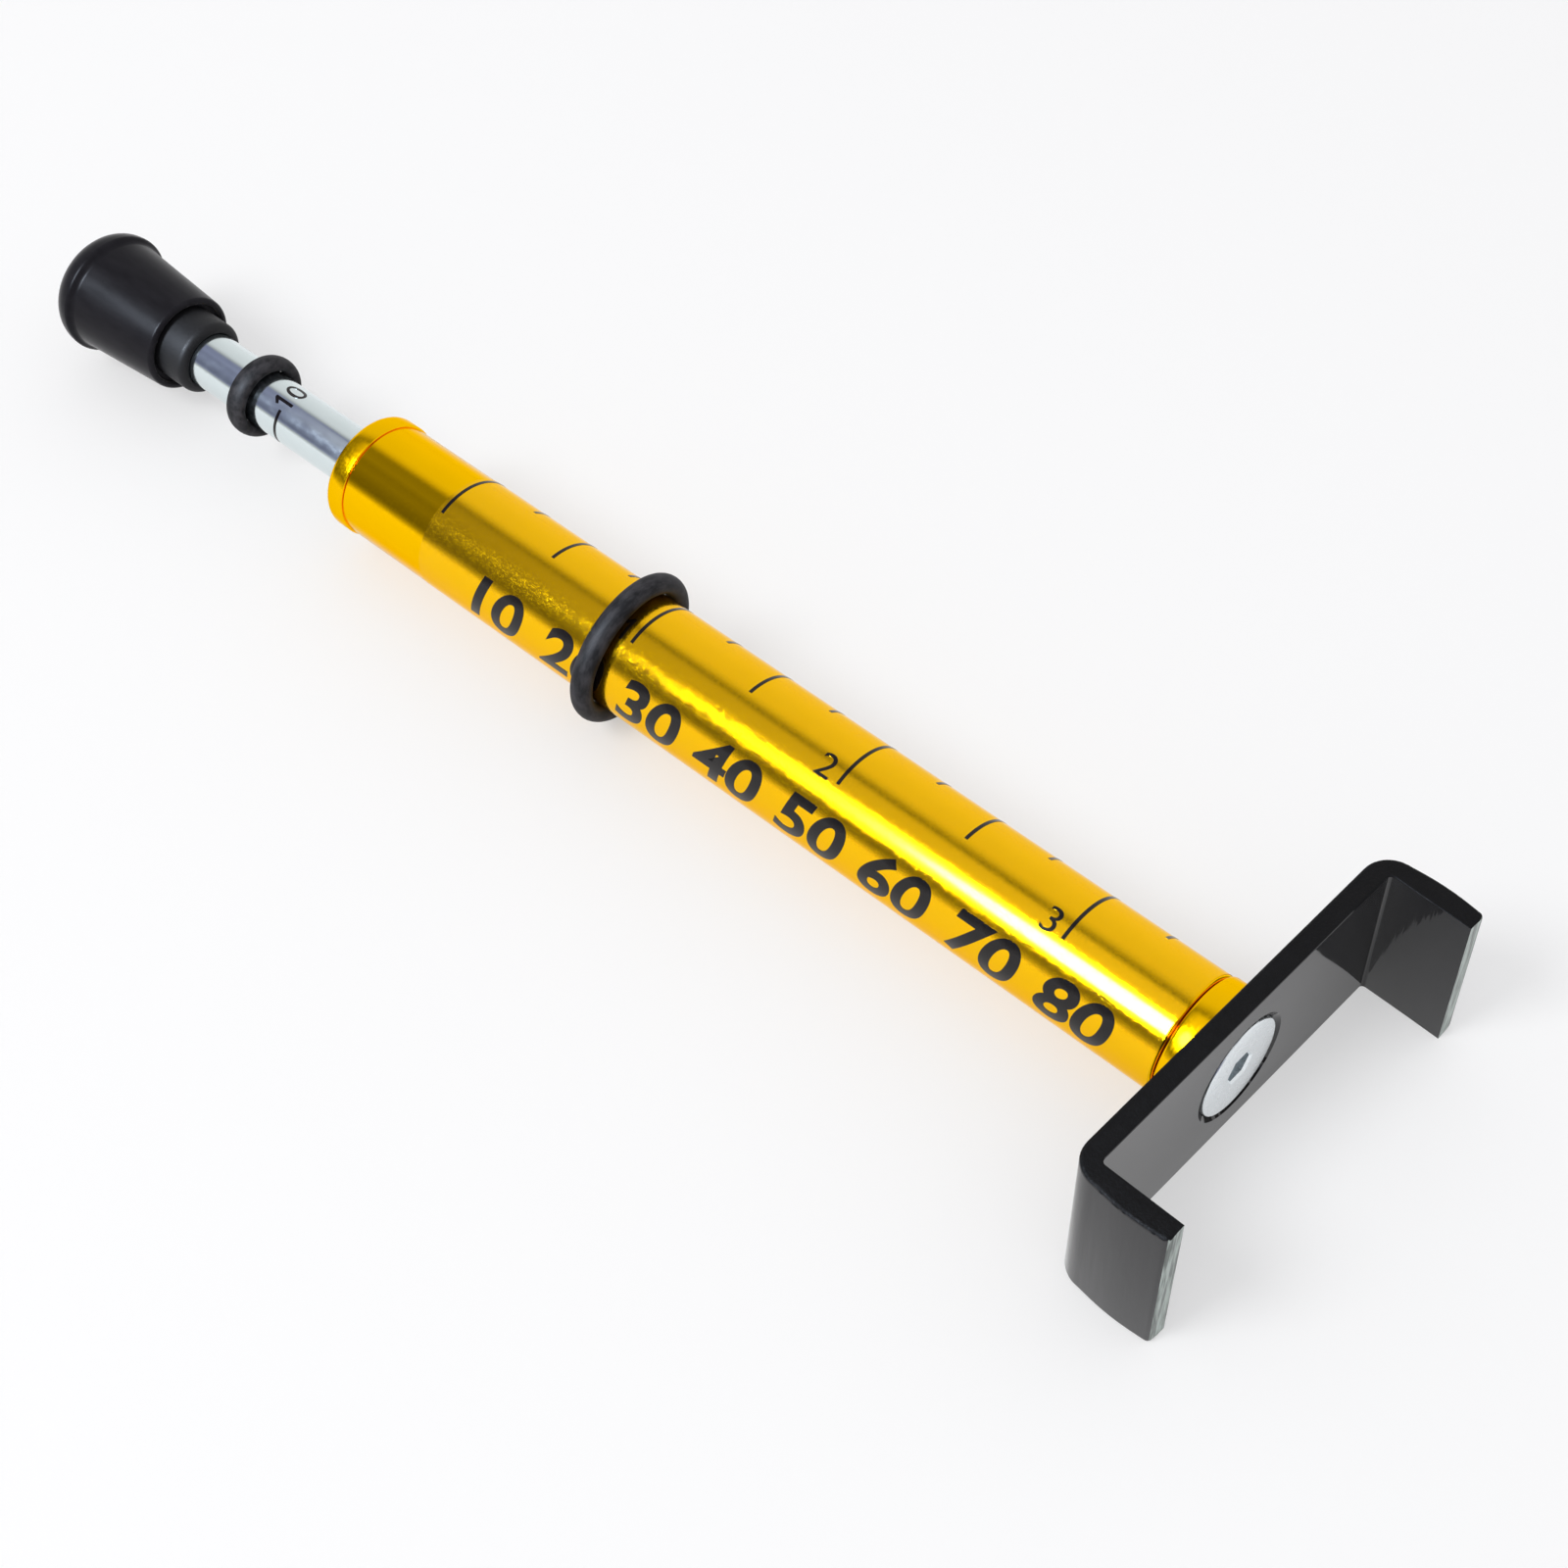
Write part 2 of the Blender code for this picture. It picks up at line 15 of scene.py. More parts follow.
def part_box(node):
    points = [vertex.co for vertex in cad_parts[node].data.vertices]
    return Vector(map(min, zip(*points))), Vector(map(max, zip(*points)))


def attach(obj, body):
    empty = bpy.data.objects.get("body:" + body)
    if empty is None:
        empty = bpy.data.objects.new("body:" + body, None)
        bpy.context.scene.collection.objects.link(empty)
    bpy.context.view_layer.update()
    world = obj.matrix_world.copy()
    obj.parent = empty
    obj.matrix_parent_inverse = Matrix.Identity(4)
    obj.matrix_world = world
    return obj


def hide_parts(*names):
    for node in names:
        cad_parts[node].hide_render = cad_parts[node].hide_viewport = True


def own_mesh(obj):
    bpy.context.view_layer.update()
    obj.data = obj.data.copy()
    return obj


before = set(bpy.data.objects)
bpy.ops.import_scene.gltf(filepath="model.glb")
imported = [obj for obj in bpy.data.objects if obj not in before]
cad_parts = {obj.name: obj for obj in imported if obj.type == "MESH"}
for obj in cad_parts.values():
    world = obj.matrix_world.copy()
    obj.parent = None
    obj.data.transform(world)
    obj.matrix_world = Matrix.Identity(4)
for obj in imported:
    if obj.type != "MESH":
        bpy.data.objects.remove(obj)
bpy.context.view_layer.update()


def reach(solid):
    """A solid's start and end along the gauge, and its radius."""
    low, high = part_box(solid)
    return low.x, high.x, (high.z - low.z) / 2


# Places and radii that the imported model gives
BARREL_START, BARREL_END, BARREL_RADIUS = reach("barrel_tube")
CAP_FACE, CAP_END, FLANGE_RADIUS = reach("rod_guide_cap")
BUSH_END = reach("rod_guide_bush")[1]
BUMPER_START, BUMPER_END, BUMPER_RADIUS = reach("return_bumper")
PLUG_START, PLUG_FACE, _ = reach("cradle_end_plug")
WASHER_START, WASHER_END, SPIGOT_RADIUS = reach("spring_seat_washer")
FOLLOWER_START, FOLLOWER_END, _ = reach("spring_follower")
SPRING_START, SPRING_END, SPRING_RADIUS = reach("compression_spring")
CLIP_START, CLIP_END, CLIP_RADIUS = reach("follower_clip")
ROD_START, ROD_END, ROD_RADIUS = reach("plunger_rod")
FERRULE_END, NOSE_FACE, NECK_RADIUS = reach("knob_core")
GRIP_END, GRIP_FRONT, GRIP_RIM_RADIUS = reach("grip_knob")
ROD_RING_START, ROD_RING_END, ROD_RING_RADIUS = reach("rod_o_ring")
BARREL_RING_START, BARREL_RING_END, BARREL_RING_RADIUS = reach("barrel_o_ring")
SCREW_TIP, SCREW_TOP, SCREW_HEAD_RADIUS = reach("cradle_screw")
CRADLE_LOW, CRADLE_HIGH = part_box("belt_cradle")
AXIS_HEIGHT = BARREL_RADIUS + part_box("barrel_tube")[0].z

# Gaps between pieces, and how finely the pieces are modelled
GAP = 0.00015
TOUCH = 0.00003
WELD = 0.0000005
ROUND_STEPS = 128
INNER_STEPS = 64
SMOOTH_ANGLE = 35

# Rounds of the turned pieces' corners
EDGE = 0.0001
FINE_ROUND = 0.0002
SEAM_ROUND = 0.00028
PLAIN_ROUND = 0.0003
WIDE_ROUND = 0.0004
CAP_ROUND = 0.0007
NOSE_ROUND = 0.0008
DOME_ROUND = 0.0029

# Sizes inside the turned pieces
BORE_RADIUS = 0.0050
BUSH_OUTER_RADIUS = 0.0042
TAIL_RADIUS = 0.0020
GROOVE_RADIUS = 0.0015
PILOT_RADIUS = 0.00295
PILOT_LENGTH = 0.0030
CLIP_ROUND = 0.00005
CLIP_HALF_MOUTH = 33
CLIP_STEPS = 40
PLUG_FLANGE_LENGTH = 0.0024
PLUG_HOLE_RADIUS = 0.00265
PLUG_HOLE_END = 0.0012
SEAT_HOLE_RADIUS = 0.00265
GRIP_FRONT_RADIUS = 0.0052
GRIP_BACK_RADIUS = 0.00605
GRIP_RIM_LENGTH = 0.0032
GRIP_RIM_STEP = 0.0004
GRIP_MOUTH_RADIUS = 0.0046
GRIP_MOUTH_DEPTH = 0.0008
RING_POINTS = 28
RING_LEAN = 0.00072
RING_LEAN_ANGLE = 130

# Spring, from its closed coils to the coils between them
WIRE_RADIUS = 0.0007
ACTIVE_COILS = 20
CLOSED_PITCH = 0.0019
POINTS_PER_COIL = 24

# Cradle and screw
SHEET = 0.0021
OUTER_BEND = 0.0029
INNER_BEND = 0.0004
TIP_ROUND = 0.0005
OUTER_EDGE_ROUND = 0.00035
INNER_EDGE_ROUND = 0.00014
LEG_CUTS = 19
LEG_BULGE = 0.00025
BULGE_DEPTH = 0.0004
CUT_END_DEPTH = 0.001
WEB_TURN = 0.0125
LEG_TURN = 0.0325
TORN_GRAIN = 0.0006
COUNTERSINK_RADIUS = 0.0056
SCREW_RADIUS = 0.0025
SCREW_HEAD_RIM = 0.00035
SCREW_HEAD_ROUND = 0.00015
SCREW_TIP_ROUND = 0.0005
SOCKET_RADIUS = 0.00160
SOCKET_CHAMFER = 0.00045
SOCKET_DEPTH = 0.0016

# Clear film, and the ink on it and on the rod
FILM_THICKNESS = 0.00003
FILM_START_BEFORE_ZERO = 0.0006
INK_THICKNESS = 0.00002
INK_WELD = 0.0000001
ARC_STEP = 3
WRAP_STEP = 4
INCH = 0.0254
ZERO_MARK = -0.022175
SCALE_BACK_ANGLE = 25
MARK_COUNT = 14
MARK_ENDS = {0: 118, 2: 94}
QUARTER_MARK_END = 56
MARK_WIDTH = 0.00036
INCH_DIGIT_HEIGHT = 0.0024
INCH_DIGIT_WIDTH = 1.15
INCH_DIGIT_ROOM = 0.0011
INCH_DIGIT_BASE = 120.8
TEN_MILLIMETRES = 0.010
BOLD_COUNT = 8
BOLD_DIGIT_HEIGHT = 0.0048
BOLD_DIGIT_WIDTH = 1.1
BOLD_SLANT = 0.25
BOLD_DIGIT_BASE = 190
BOLD_FATTENING = 0.00018
ROD_MARK = -0.04743
ROD_MARK_ENDS = (127, 205)
ROD_DIGIT_BASE = -0.0465
ROD_ONE_START = 121
ROD_NOUGHT_START = 93
ROD_DIGIT_HEIGHT = 0.00245
CAP_HEIGHT_SHARE = 0.69


# Modelling helpers

def deselect():
    bpy.ops.object.select_all(action="DESELECT")


def edit(kind="VERT"):
    bpy.ops.object.mode_set(mode="EDIT")
    bpy.ops.mesh.select_mode(type=kind)
    bpy.ops.mesh.select_all(action="SELECT")


def pick(kind, test):
    """In edit mode, select the vertices, edges or faces that pass the test, and nothing else."""
    bpy.ops.mesh.select_mode(type=kind)
    bpy.ops.mesh.select_all(action="DESELECT")
    shape = bpy.context.object.data
    mesh = bmesh.from_edit_mesh(shape)
    for item in {"VERT": mesh.verts, "EDGE": mesh.edges, "FACE": mesh.faces}[kind]:
        if test(item):
            item.select_set(True)
    bmesh.update_edit_mesh(shape)


def middle_of(edge):
    return (edge.verts[0].co + edge.verts[1].co) / 2


def finish_piece(name, surface, body, solid=None, smooth_angle=SMOOTH_ANGLE):
    """Weld, turn the faces outwards, put the origin at the frame's and hand the piece over."""
    edit()
    bpy.ops.mesh.remove_doubles(threshold=WELD)
    bpy.ops.mesh.normals_make_consistent(inside=False)
    bpy.ops.object.mode_set(mode="OBJECT")
    bpy.ops.object.transform_apply(location=True, rotation=True, scale=True)
    piece = bpy.context.object
    piece.name = name
    piece.data.name = name
    bpy.ops.object.shade_smooth_by_angle(angle=math.radians(smooth_angle))
    piece.data.materials.clear()
    piece.data.materials.append(surface)
    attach(piece, body)
    if solid:
        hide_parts(solid)
    return piece


def draw_outline(places, rounds=None, closed=True):
    """Draw straight lines from place to place in edit mode, then round the corners.

    The line starts as a small plane merged to one point, from which the corners are pulled one by one.
    """
    deselect()
    bpy.ops.mesh.primitive_plane_add(size=EDGE, location=places[0])
    bpy.ops.object.transform_apply(location=True)
    edit()
    bpy.ops.mesh.merge(type="CENTER")
    for here, there in zip(places, places[1:]):
        bpy.ops.mesh.extrude_vertices_move(TRANSFORM_OT_translate={"value": there - here})
    if closed:
        ends = (places[0], places[-1])
        pick("VERT", lambda vert: any((vert.co - end).length < EDGE / 10 for end in ends))
        bpy.ops.mesh.edge_face_add()
    for place, size in zip(places, rounds or []):
        if size:
            pick("VERT", lambda vert: (vert.co - place).length < EDGE / 10)
            segments = min(max(3, round(size / EDGE)), 12)
            bpy.ops.mesh.bevel(offset=size, offset_type="OFFSET", segments=segments, affect="VERTICES",
                               clamp_overlap=False)
    bpy.ops.mesh.select_all(action="SELECT")


def turned(name, corners, surface, body, solid, closed=True, steps=ROUND_STEPS,
           smooth_angle=SMOOTH_ANGLE):
    """A turned piece: its outline is spun round the gauge's axis."""
    places = [Vector((corner[0], 0, AXIS_HEIGHT + corner[1])) for corner in corners]
    draw_outline(places, [corner[2] if len(corner) > 2 else 0 for corner in corners], closed)
    bpy.ops.mesh.spin(steps=steps, angle=math.tau, center=(0, 0, AXIS_HEIGHT), axis=(1, 0, 0))
    return finish_piece(name, surface, body, solid, smooth_angle)


def cut(piece, cutter):
    """Take the cutter's shape out of the piece, and remove the cutter."""
    boolean = piece.modifiers.new("cut", "BOOLEAN")
    boolean.operation = "DIFFERENCE"
    boolean.solver = "EXACT"
    boolean.object = cutter
    deselect()
    piece.select_set(True)
    bpy.context.view_layer.objects.active = piece
    bpy.ops.object.modifier_apply(modifier=boolean.name)
    bpy.data.objects.remove(cutter, do_unlink=True)


def join_pieces(pieces):
    deselect()
    for piece in pieces:
        piece.select_set(True)
    bpy.context.view_layer.objects.active = pieces[0]
    bpy.ops.object.join()
    return bpy.context.object


# Shader helpers

def node(tree, kind, inputs=None, **settings):
    """Add a shader node, set its settings, and give each input a value or join it to an output."""
    made = tree.nodes.new("ShaderNode" + kind)
    for key, value in settings.items():
        setattr(made, key, value)
    for key, value in (inputs or {}).items():
        if isinstance(value, bpy.types.NodeSocket):
            tree.links.new(value, made.inputs[key])
        else:
            made.inputs[key].default_value = value
    return made


def principled(name, **sockets):
    """A Principled material with the given sockets set. Returns it, its tree and its shader."""
    made = bpy.data.materials.new(name)
    made.use_nodes = True
    tree = made.node_tree
    shader = tree.nodes["Principled BSDF"]
    for key, value in sockets.items():
        shader.inputs[key.replace("_", " ")].default_value = value
    return made, tree, shader


def place_of(tree):
    return node(tree, "TexCoord").outputs["Object"]


def calculate(tree, operation, *values):
    return node(tree, "Math", dict(enumerate(values)), operation=operation).outputs[0]


def along_and_round(tree, along_scale=1.0, arc_scale=1.0):
    """A vector of the place along the gauge, the arc round its axis and the distance from it.

    The seam of the arc lies underneath. The two scales squeeze a pattern along or round.
    """
    apart = node(tree, "SeparateXYZ", {"Vector": place_of(tree)}).outputs
    height = calculate(tree, "SUBTRACT", apart["Z"], AXIS_HEIGHT)
    angle = calculate(tree, "ARCTAN2", apart["Y"], height)
    arc = calculate(tree, "MULTIPLY", angle, BARREL_RADIUS * arc_scale)
    along = calculate(tree, "MULTIPLY", apart["X"], along_scale)
    flat = node(tree, "CombineXYZ", {"X": apart["Y"], "Y": height}).outputs[0]
    away = node(tree, "VectorMath", {0: flat}, operation="LENGTH").outputs["Value"]
    return node(tree, "CombineXYZ", {"X": along, "Y": arc, "Z": away}).outputs[0]


def upright_streaks(tree, share):
    """The place with its height squeezed, so that a pattern runs in upright streaks."""
    return node(tree, "VectorMath", {0: place_of(tree), 1: (1, 1, share)}, operation="MULTIPLY").outputs[0]


def noise(tree, vector, size, detail=3.0, roughness=0.5):
    """Noise whose features are about the given size."""
    return node(tree, "TexNoise", {"Vector": vector, "Scale": 1 / size, "Detail": detail,
                                   "Roughness": roughness}).outputs["Fac"]


def spread(tree, value, low, high, from_low=0.3, from_high=0.7):
    """Map a pattern's value to the given range."""
    return node(tree, "MapRange", {"Value": value, "From Min": from_low, "From Max": from_high,
                                   "To Min": low, "To Max": high}).outputs[0]


def blend_colours(tree, factor, first, second):
    mixed = node(tree, "Mix", {0: factor, 6: (*first, 1), 7: (*second, 1)}, data_type="RGBA")
    return mixed.outputs[2]


def bump(tree, height, distance, strength=1.0, normal=None):
    inputs = {"Height": height, "Distance": distance, "Strength": strength}
    if normal:
        inputs["Normal"] = normal
    return node(tree, "Bump", inputs).outputs["Normal"]


def join(tree, shader, **sockets):
    for key, value in sockets.items():
        tree.links.new(value, shader.inputs[key.replace("_", " ")])


# Materials

GOLD_COLOURS = ((1.0, 0.56, 0.0014), (0.97, 0.53, 0.0010))
GOLD_EDGE_TINT = (1.0, 0.82, 0.40, 1)


def gold_anodised(name, smooth, rough):
    """Bright gold anodised aluminium with a faint turned grain and fine specks."""
    made, tree, shader = principled(name, Metallic=1.0, Specular_Tint=GOLD_EDGE_TINT)
    grain = noise(tree, along_and_round(tree, arc_scale=0.08), 0.00012, 4)
    specks = noise(tree, along_and_round(tree), 0.00030, 3)
    cloud = noise(tree, along_and_round(tree), 0.0030, 3)
    worn = calculate(tree, "ADD", calculate(tree, "MULTIPLY", grain, 0.4),
                     calculate(tree, "MULTIPLY", specks, 0.6))
    join(tree, shader, Base_Color=blend_colours(tree, cloud, *GOLD_COLOURS),
         Roughness=spread(tree, worn, smooth, rough, 0.42, 0.62), Normal=bump(tree, worn, 0.000007, 0.6))
    return made


def gold_under_film():
    """The same metal under the clear scale film, whose fine pebbles scatter a part of the light."""
    made, tree, shader = principled("gold_under_film", Metallic=1.0, Specular_Tint=GOLD_EDGE_TINT,
                                    Coat_Weight=0.15, Coat_Roughness=0.12)
    cloud = noise(tree, along_and_round(tree), 0.0030, 3)
    grains = noise(tree, along_and_round(tree, along_scale=0.7), 0.00010, 2, 0.6)
    flecks = noise(tree, along_and_round(tree, along_scale=0.7), 0.00035, 3)
    pebbles = calculate(tree, "ADD", grains, spread(tree, flecks, -0.05, 0.05))
    hazy = spread(tree, pebbles, 0.0, 1.0, 0.50, 0.66)
    join(tree, shader, Base_Color=blend_colours(tree, cloud, *GOLD_COLOURS),
         Roughness=spread(tree, hazy, 0.08, 0.168, 0.0, 1.0), Normal=bump(tree, hazy, 0.00001, 0.20))
    return made


def printing_ink():
    """Black printing ink with a warm tone, thinner in places."""
    made, tree, shader = principled("printing_ink", Specular_IOR_Level=0.35)
    patch = noise(tree, along_and_round(tree), 0.0004, 3)
    join(tree, shader, Base_Color=blend_colours(tree, patch, (0.003, 0.002, 0.002), (0.009, 0.006, 0.006)),
         Roughness=spread(tree, patch, 0.10, 0.17))
    return made


def black_rubber():
    """Black rubber with fine pores and faint marks along it."""
    made, tree, shader = principled("black_rubber", Specular_IOR_Level=0.045, Sheen_Weight=0.30,
                                    Sheen_Roughness=0.35)
    pores = noise(tree, place_of(tree), 0.00025, 3)
    scuffs = noise(tree, along_and_round(tree, along_scale=0.3), 0.0010, 4)
    join(tree, shader, Base_Color=blend_colours(tree, scuffs, (0.008, 0.0077, 0.010), (0.019, 0.018, 0.022)),
         Roughness=spread(tree, scuffs, 0.28, 0.36), Normal=bump(tree, pores, 0.000006, 0.5))
    return made


def ring_rubber():
    """Duller black rubber, mottled with grey where the rings have been rubbed."""
    made, tree, shader = principled("ring_rubber", Specular_IOR_Level=0.15)
    rubbed = noise(tree, along_and_round(tree, arc_scale=0.5), 0.0009, 4, 0.6)
    join(tree, shader, Base_Color=blend_colours(tree, spread(tree, rubbed, 0.0, 1.0, 0.4, 0.65),
                                                (0.009, 0.009, 0.011), (0.042, 0.040, 0.045)),
         Roughness=spread(tree, rubbed, 0.50, 0.65), Normal=bump(tree, rubbed, 0.00003, 0.5))
    return made


def black_plastic():
    made, tree, shader = principled("black_plastic", Specular_IOR_Level=0.2)
    grain = noise(tree, along_and_round(tree), 0.0003, 3)
    join(tree, shader, Base_Color=blend_colours(tree, grain, (0.008, 0.008, 0.009), (0.016, 0.016, 0.018)),
         Roughness=spread(tree, grain, 0.45, 0.6), Normal=bump(tree, grain, 0.000005, 0.4))
    return made


def black_enamel():
    """Glossy black stoving enamel with a slight orange peel, and soft streaks where the strip was bent."""
    made, tree, shader = principled("black_gloss", IOR=1.57)
    where = place_of(tree)
    peel = noise(tree, where, 0.0020, 2)
    streaks = noise(tree, upright_streaks(tree, 0.15), 0.0009, 3)
    across = calculate(tree, "ABSOLUTE", node(tree, "SeparateXYZ", {"Vector": where}).outputs["Y"])
    outside = spread(tree, across, 0.0, 1.0, CRADLE_HIGH.y - 0.0030, CRADLE_HIGH.y - 0.0010)
    pits = noise(tree, where, 0.00025, 4, 0.65)
    join(tree, shader, Base_Color=blend_colours(tree, pits, (0.005, 0.005, 0.006), (0.010, 0.010, 0.012)),
         Roughness=spread(tree, peel, 0.05, 0.09),
         Normal=bump(tree, calculate(tree, "MULTIPLY", streaks, outside), 0.00006, 0.6,
                     bump(tree, peel, 0.000005, 0.4)))
    return made


def sheared_edge():
    """The strip's sheared faces: the same paint, thin and dull over a torn grain."""
    made, tree, shader = principled("sheared_edge", Specular_IOR_Level=0.08)
    where = place_of(tree)
    grain = noise(tree, where, 0.00035, 4, 0.7)
    cloud = noise(tree, where, 0.0015, 3)
    join(tree, shader, Base_Color=blend_colours(tree, cloud, (0.003, 0.0028, 0.003), (0.007, 0.0065, 0.007)),
         Roughness=spread(tree, grain, 0.35, 0.7), Normal=bump(tree, grain, 0.00012, 0.8))
    return made


def cut_end():
    """The legs' sawn ends, where the paint is thin and the steel shows through; their pale grey-green is also
    painted reflection of the lit floor in front.
    """
    made, tree, shader = principled("cut_end", Metallic=0.4)
    worn = noise(tree, upright_streaks(tree, 0.1), 0.0004, 3)
    # Painted reflection: the pale grey-green streaks stand in for the lit floor that the ends reflect, over the
    # bare steel's own darker tone
    join(tree, shader, Base_Color=blend_colours(tree, spread(tree, worn, 0.0, 1.0, 0.4, 0.6),
                                                (0.11, 0.13, 0.12), (0.42, 0.48, 0.45)),
         Roughness=spread(tree, worn, 0.30, 0.45), Normal=bump(tree, worn, 0.00001, 0.5))
    return made


def polished_steel():
    """Bright drawn steel with a soft haze and gentle waves along the rod."""
    made, tree, shader = principled("polished_steel", Metallic=1.0)
    waves = noise(tree, along_and_round(tree, along_scale=0.35), 0.0012, 3)
    cloud = noise(tree, along_and_round(tree), 0.0016, 3)
    join(tree, shader, Base_Color=blend_colours(tree, cloud, (0.68, 0.76, 0.77), (0.73, 0.80, 0.81)),
         Roughness=spread(tree, cloud, 0.10, 0.16), Normal=bump(tree, waves, 0.00001, 0.4))
    return made


def bright_zinc():
    """Zinc plate with the fine rings of its turning."""
    made, tree, shader = principled("bright_zinc", Metallic=1.0)
    away = node(tree, "SeparateXYZ", {"Vector": along_and_round(tree)}).outputs["Z"]
    rings = calculate(tree, "SINE", calculate(tree, "MULTIPLY", away, 1 / 0.00004))
    cloud = noise(tree, place_of(tree), 0.0008, 3)
    join(tree, shader, Base_Color=blend_colours(tree, cloud, (0.80, 0.85, 0.88), (0.86, 0.90, 0.92)),
         Roughness=spread(tree, cloud, 0.22, 0.30), Normal=bump(tree, rings, 0.0000005, 0.2))
    return made


def bush_brass():
    made, tree, shader = principled("bush_brass", Metallic=1.0)
    grain = noise(tree, along_and_round(tree, arc_scale=0.1), 0.00015, 4)
    join(tree, shader, Base_Color=blend_colours(tree, grain, (0.62, 0.43, 0.15), (0.72, 0.52, 0.22)),
         Roughness=spread(tree, grain, 0.25, 0.4), Normal=bump(tree, grain, 0.000003, 0.5))
    return made


def spring_steel():
    made, tree, shader = principled("spring_steel", Metallic=1.0)
    drawn = noise(tree, place_of(tree), 0.0003, 4)
    join(tree, shader, Base_Color=blend_colours(tree, drawn, (0.40, 0.41, 0.43), (0.52, 0.53, 0.55)),
         Roughness=spread(tree, drawn, 0.25, 0.42), Normal=bump(tree, drawn, 0.000004, 0.4))
    return made


GOLD = gold_anodised("gold_anodised", 0.05, 0.13)
HAZY_GOLD = gold_anodised("hazy_gold", 0.13, 0.20)
FILM = gold_under_film()
INK = printing_ink()
RUBBER = black_rubber()
RING_RUBBER = ring_rubber()
PLASTIC = black_plastic()
ENAMEL = black_enamel()
SHEARED = sheared_edge()
CUT_END = cut_end()
STEEL = polished_steel()
ZINC = bright_zinc()
BRASS = bush_brass()
WIRE = spring_steel()


# Barrel, its two end fittings and what lies inside them

def tube_and_film():
    corners = [(BARREL_START, BORE_RADIUS, EDGE), (BARREL_START, BARREL_RADIUS, GAP),
               (BARREL_END, BARREL_RADIUS, SEAM_ROUND), (BARREL_END, BORE_RADIUS, EDGE)]
    turned("anodised_tube", corners, GOLD, "barrel", "barrel_tube")
    start = ZERO_MARK - FILM_START_BEFORE_ZERO
    end = BARREL_END - SEAM_ROUND
    outer = BARREL_RADIUS + FILM_THICKNESS
    corners = [(start, BARREL_RADIUS - TOUCH), (start, outer), (end, outer), (end, BARREL_RADIUS - TOUCH)]
    turned("scale_film", corners, FILM, "barrel", None)


def guide_cap():
    """The rod's end of the barrel: a rounded flange, a spigot in the tube and a bore for the bush."""
    seam = BARREL_START - TOUCH
    corners = [(CAP_FACE, BUSH_OUTER_RADIUS, FINE_ROUND), (CAP_FACE, FLANGE_RADIUS, CAP_ROUND),
               (seam, FLANGE_RADIUS, GAP), (seam, SPIGOT_RADIUS), (CAP_END, SPIGOT_RADIUS, PLAIN_ROUND),
               (CAP_END, BUSH_OUTER_RADIUS, EDGE)]
    turned("guide_cap", corners, HAZY_GOLD, "barrel", "rod_guide_cap")
    inner = ROD_RADIUS + TOUCH
    outer = BUSH_OUTER_RADIUS - TOUCH
    lip = CAP_END + TOUCH
    corners = [(CAP_FACE + EDGE, inner, FINE_ROUND), (CAP_FACE + EDGE, outer, EDGE), (lip, outer),
               (lip, SPIGOT_RADIUS, EDGE), (BUSH_END, SPIGOT_RADIUS, FINE_ROUND), (BUSH_END, inner, FINE_ROUND)]
    turned("guide_bush", corners, BRASS, "barrel", "rod_guide_bush", steps=INNER_STEPS)
    inner = ROD_RADIUS + GAP
    corners = [(BUMPER_START, inner, FINE_ROUND), (BUMPER_START, BUMPER_RADIUS, PLAIN_ROUND),
               (BUMPER_END, BUMPER_RADIUS, PLAIN_ROUND), (BUMPER_END, inner, FINE_ROUND)]
    turned("bumper_washer", corners, RUBBER, "barrel", "return_bumper", steps=INNER_STEPS)


def end_plug():
    """The cradle's end of the barrel: a flange, a spigot and a blind hole for the screw."""
    hole_end = PLUG_START + PLUG_HOLE_END
    mouth = COUNTERSINK_RADIUS - SHEET
    flange = PLUG_FACE - PLUG_FLANGE_LENGTH
    corners = [(hole_end, 0), (hole_end, PLUG_HOLE_RADIUS),
               (PLUG_FACE - (mouth - PLUG_HOLE_RADIUS), PLUG_HOLE_RADIUS), (PLUG_FACE, mouth, EDGE),
               (PLUG_FACE, FLANGE_RADIUS, PLAIN_ROUND), (flange, FLANGE_RADIUS, SEAM_ROUND),
               (flange, SPIGOT_RADIUS), (PLUG_START, SPIGOT_RADIUS, PLAIN_ROUND), (PLUG_START, 0)]
    turned("end_plug", corners, HAZY_GOLD, "barrel", "cradle_end_plug", closed=False)
    corners = [(WASHER_START, SEAT_HOLE_RADIUS, EDGE), (WASHER_START, SPIGOT_RADIUS, EDGE),
               (WASHER_END, SPIGOT_RADIUS, EDGE), (WASHER_END, SEAT_HOLE_RADIUS, EDGE)]
    turned("seat_washer", corners, ZINC, "barrel", "spring_seat_washer", steps=INNER_STEPS)


def spring_coil():
    """The measuring spring: one wire, wound close at its two ends and evenly between them."""
    start = SPRING_START + WIRE_RADIUS
    end = SPRING_END - WIRE_RADIUS
    pitch = (end - start - 2 * CLOSED_PITCH) / ACTIVE_COILS
    coil = SPRING_RADIUS - WIRE_RADIUS
    count = (ACTIVE_COILS + 2) * POINTS_PER_COIL
    deselect()
    curve = bpy.data.curves.new("spring_coil", "CURVE")
    curve.dimensions = "3D"
    curve.bevel_depth = WIRE_RADIUS
    curve.bevel_resolution = 3
    curve.use_fill_caps = True
    wire = curve.splines.new("POLY")
    wire.points.add(count)
    for step, point in enumerate(wire.points):
        turns = step / POINTS_PER_COIL
        closed = min(turns, 1) + max(0, turns - 1 - ACTIVE_COILS)
        along = start + closed * CLOSED_PITCH + (turns - closed) * pitch
        angle = math.tau * turns
        point.co = (along, coil * math.sin(angle), AXIS_HEIGHT - coil * math.cos(angle), 1)
    piece = bpy.data.objects.new("spring_coil", curve)
    bpy.context.scene.collection.objects.link(piece)
    piece.select_set(True)
    bpy.context.view_layer.objects.active = piece
    bpy.ops.object.convert(target="MESH")
    piece = finish_piece("spring_coil", WIRE, "barrel", "compression_spring", 60)
    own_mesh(piece)


tube_and_film()
guide_cap()
end_plug()
spring_coil()


# Plunger

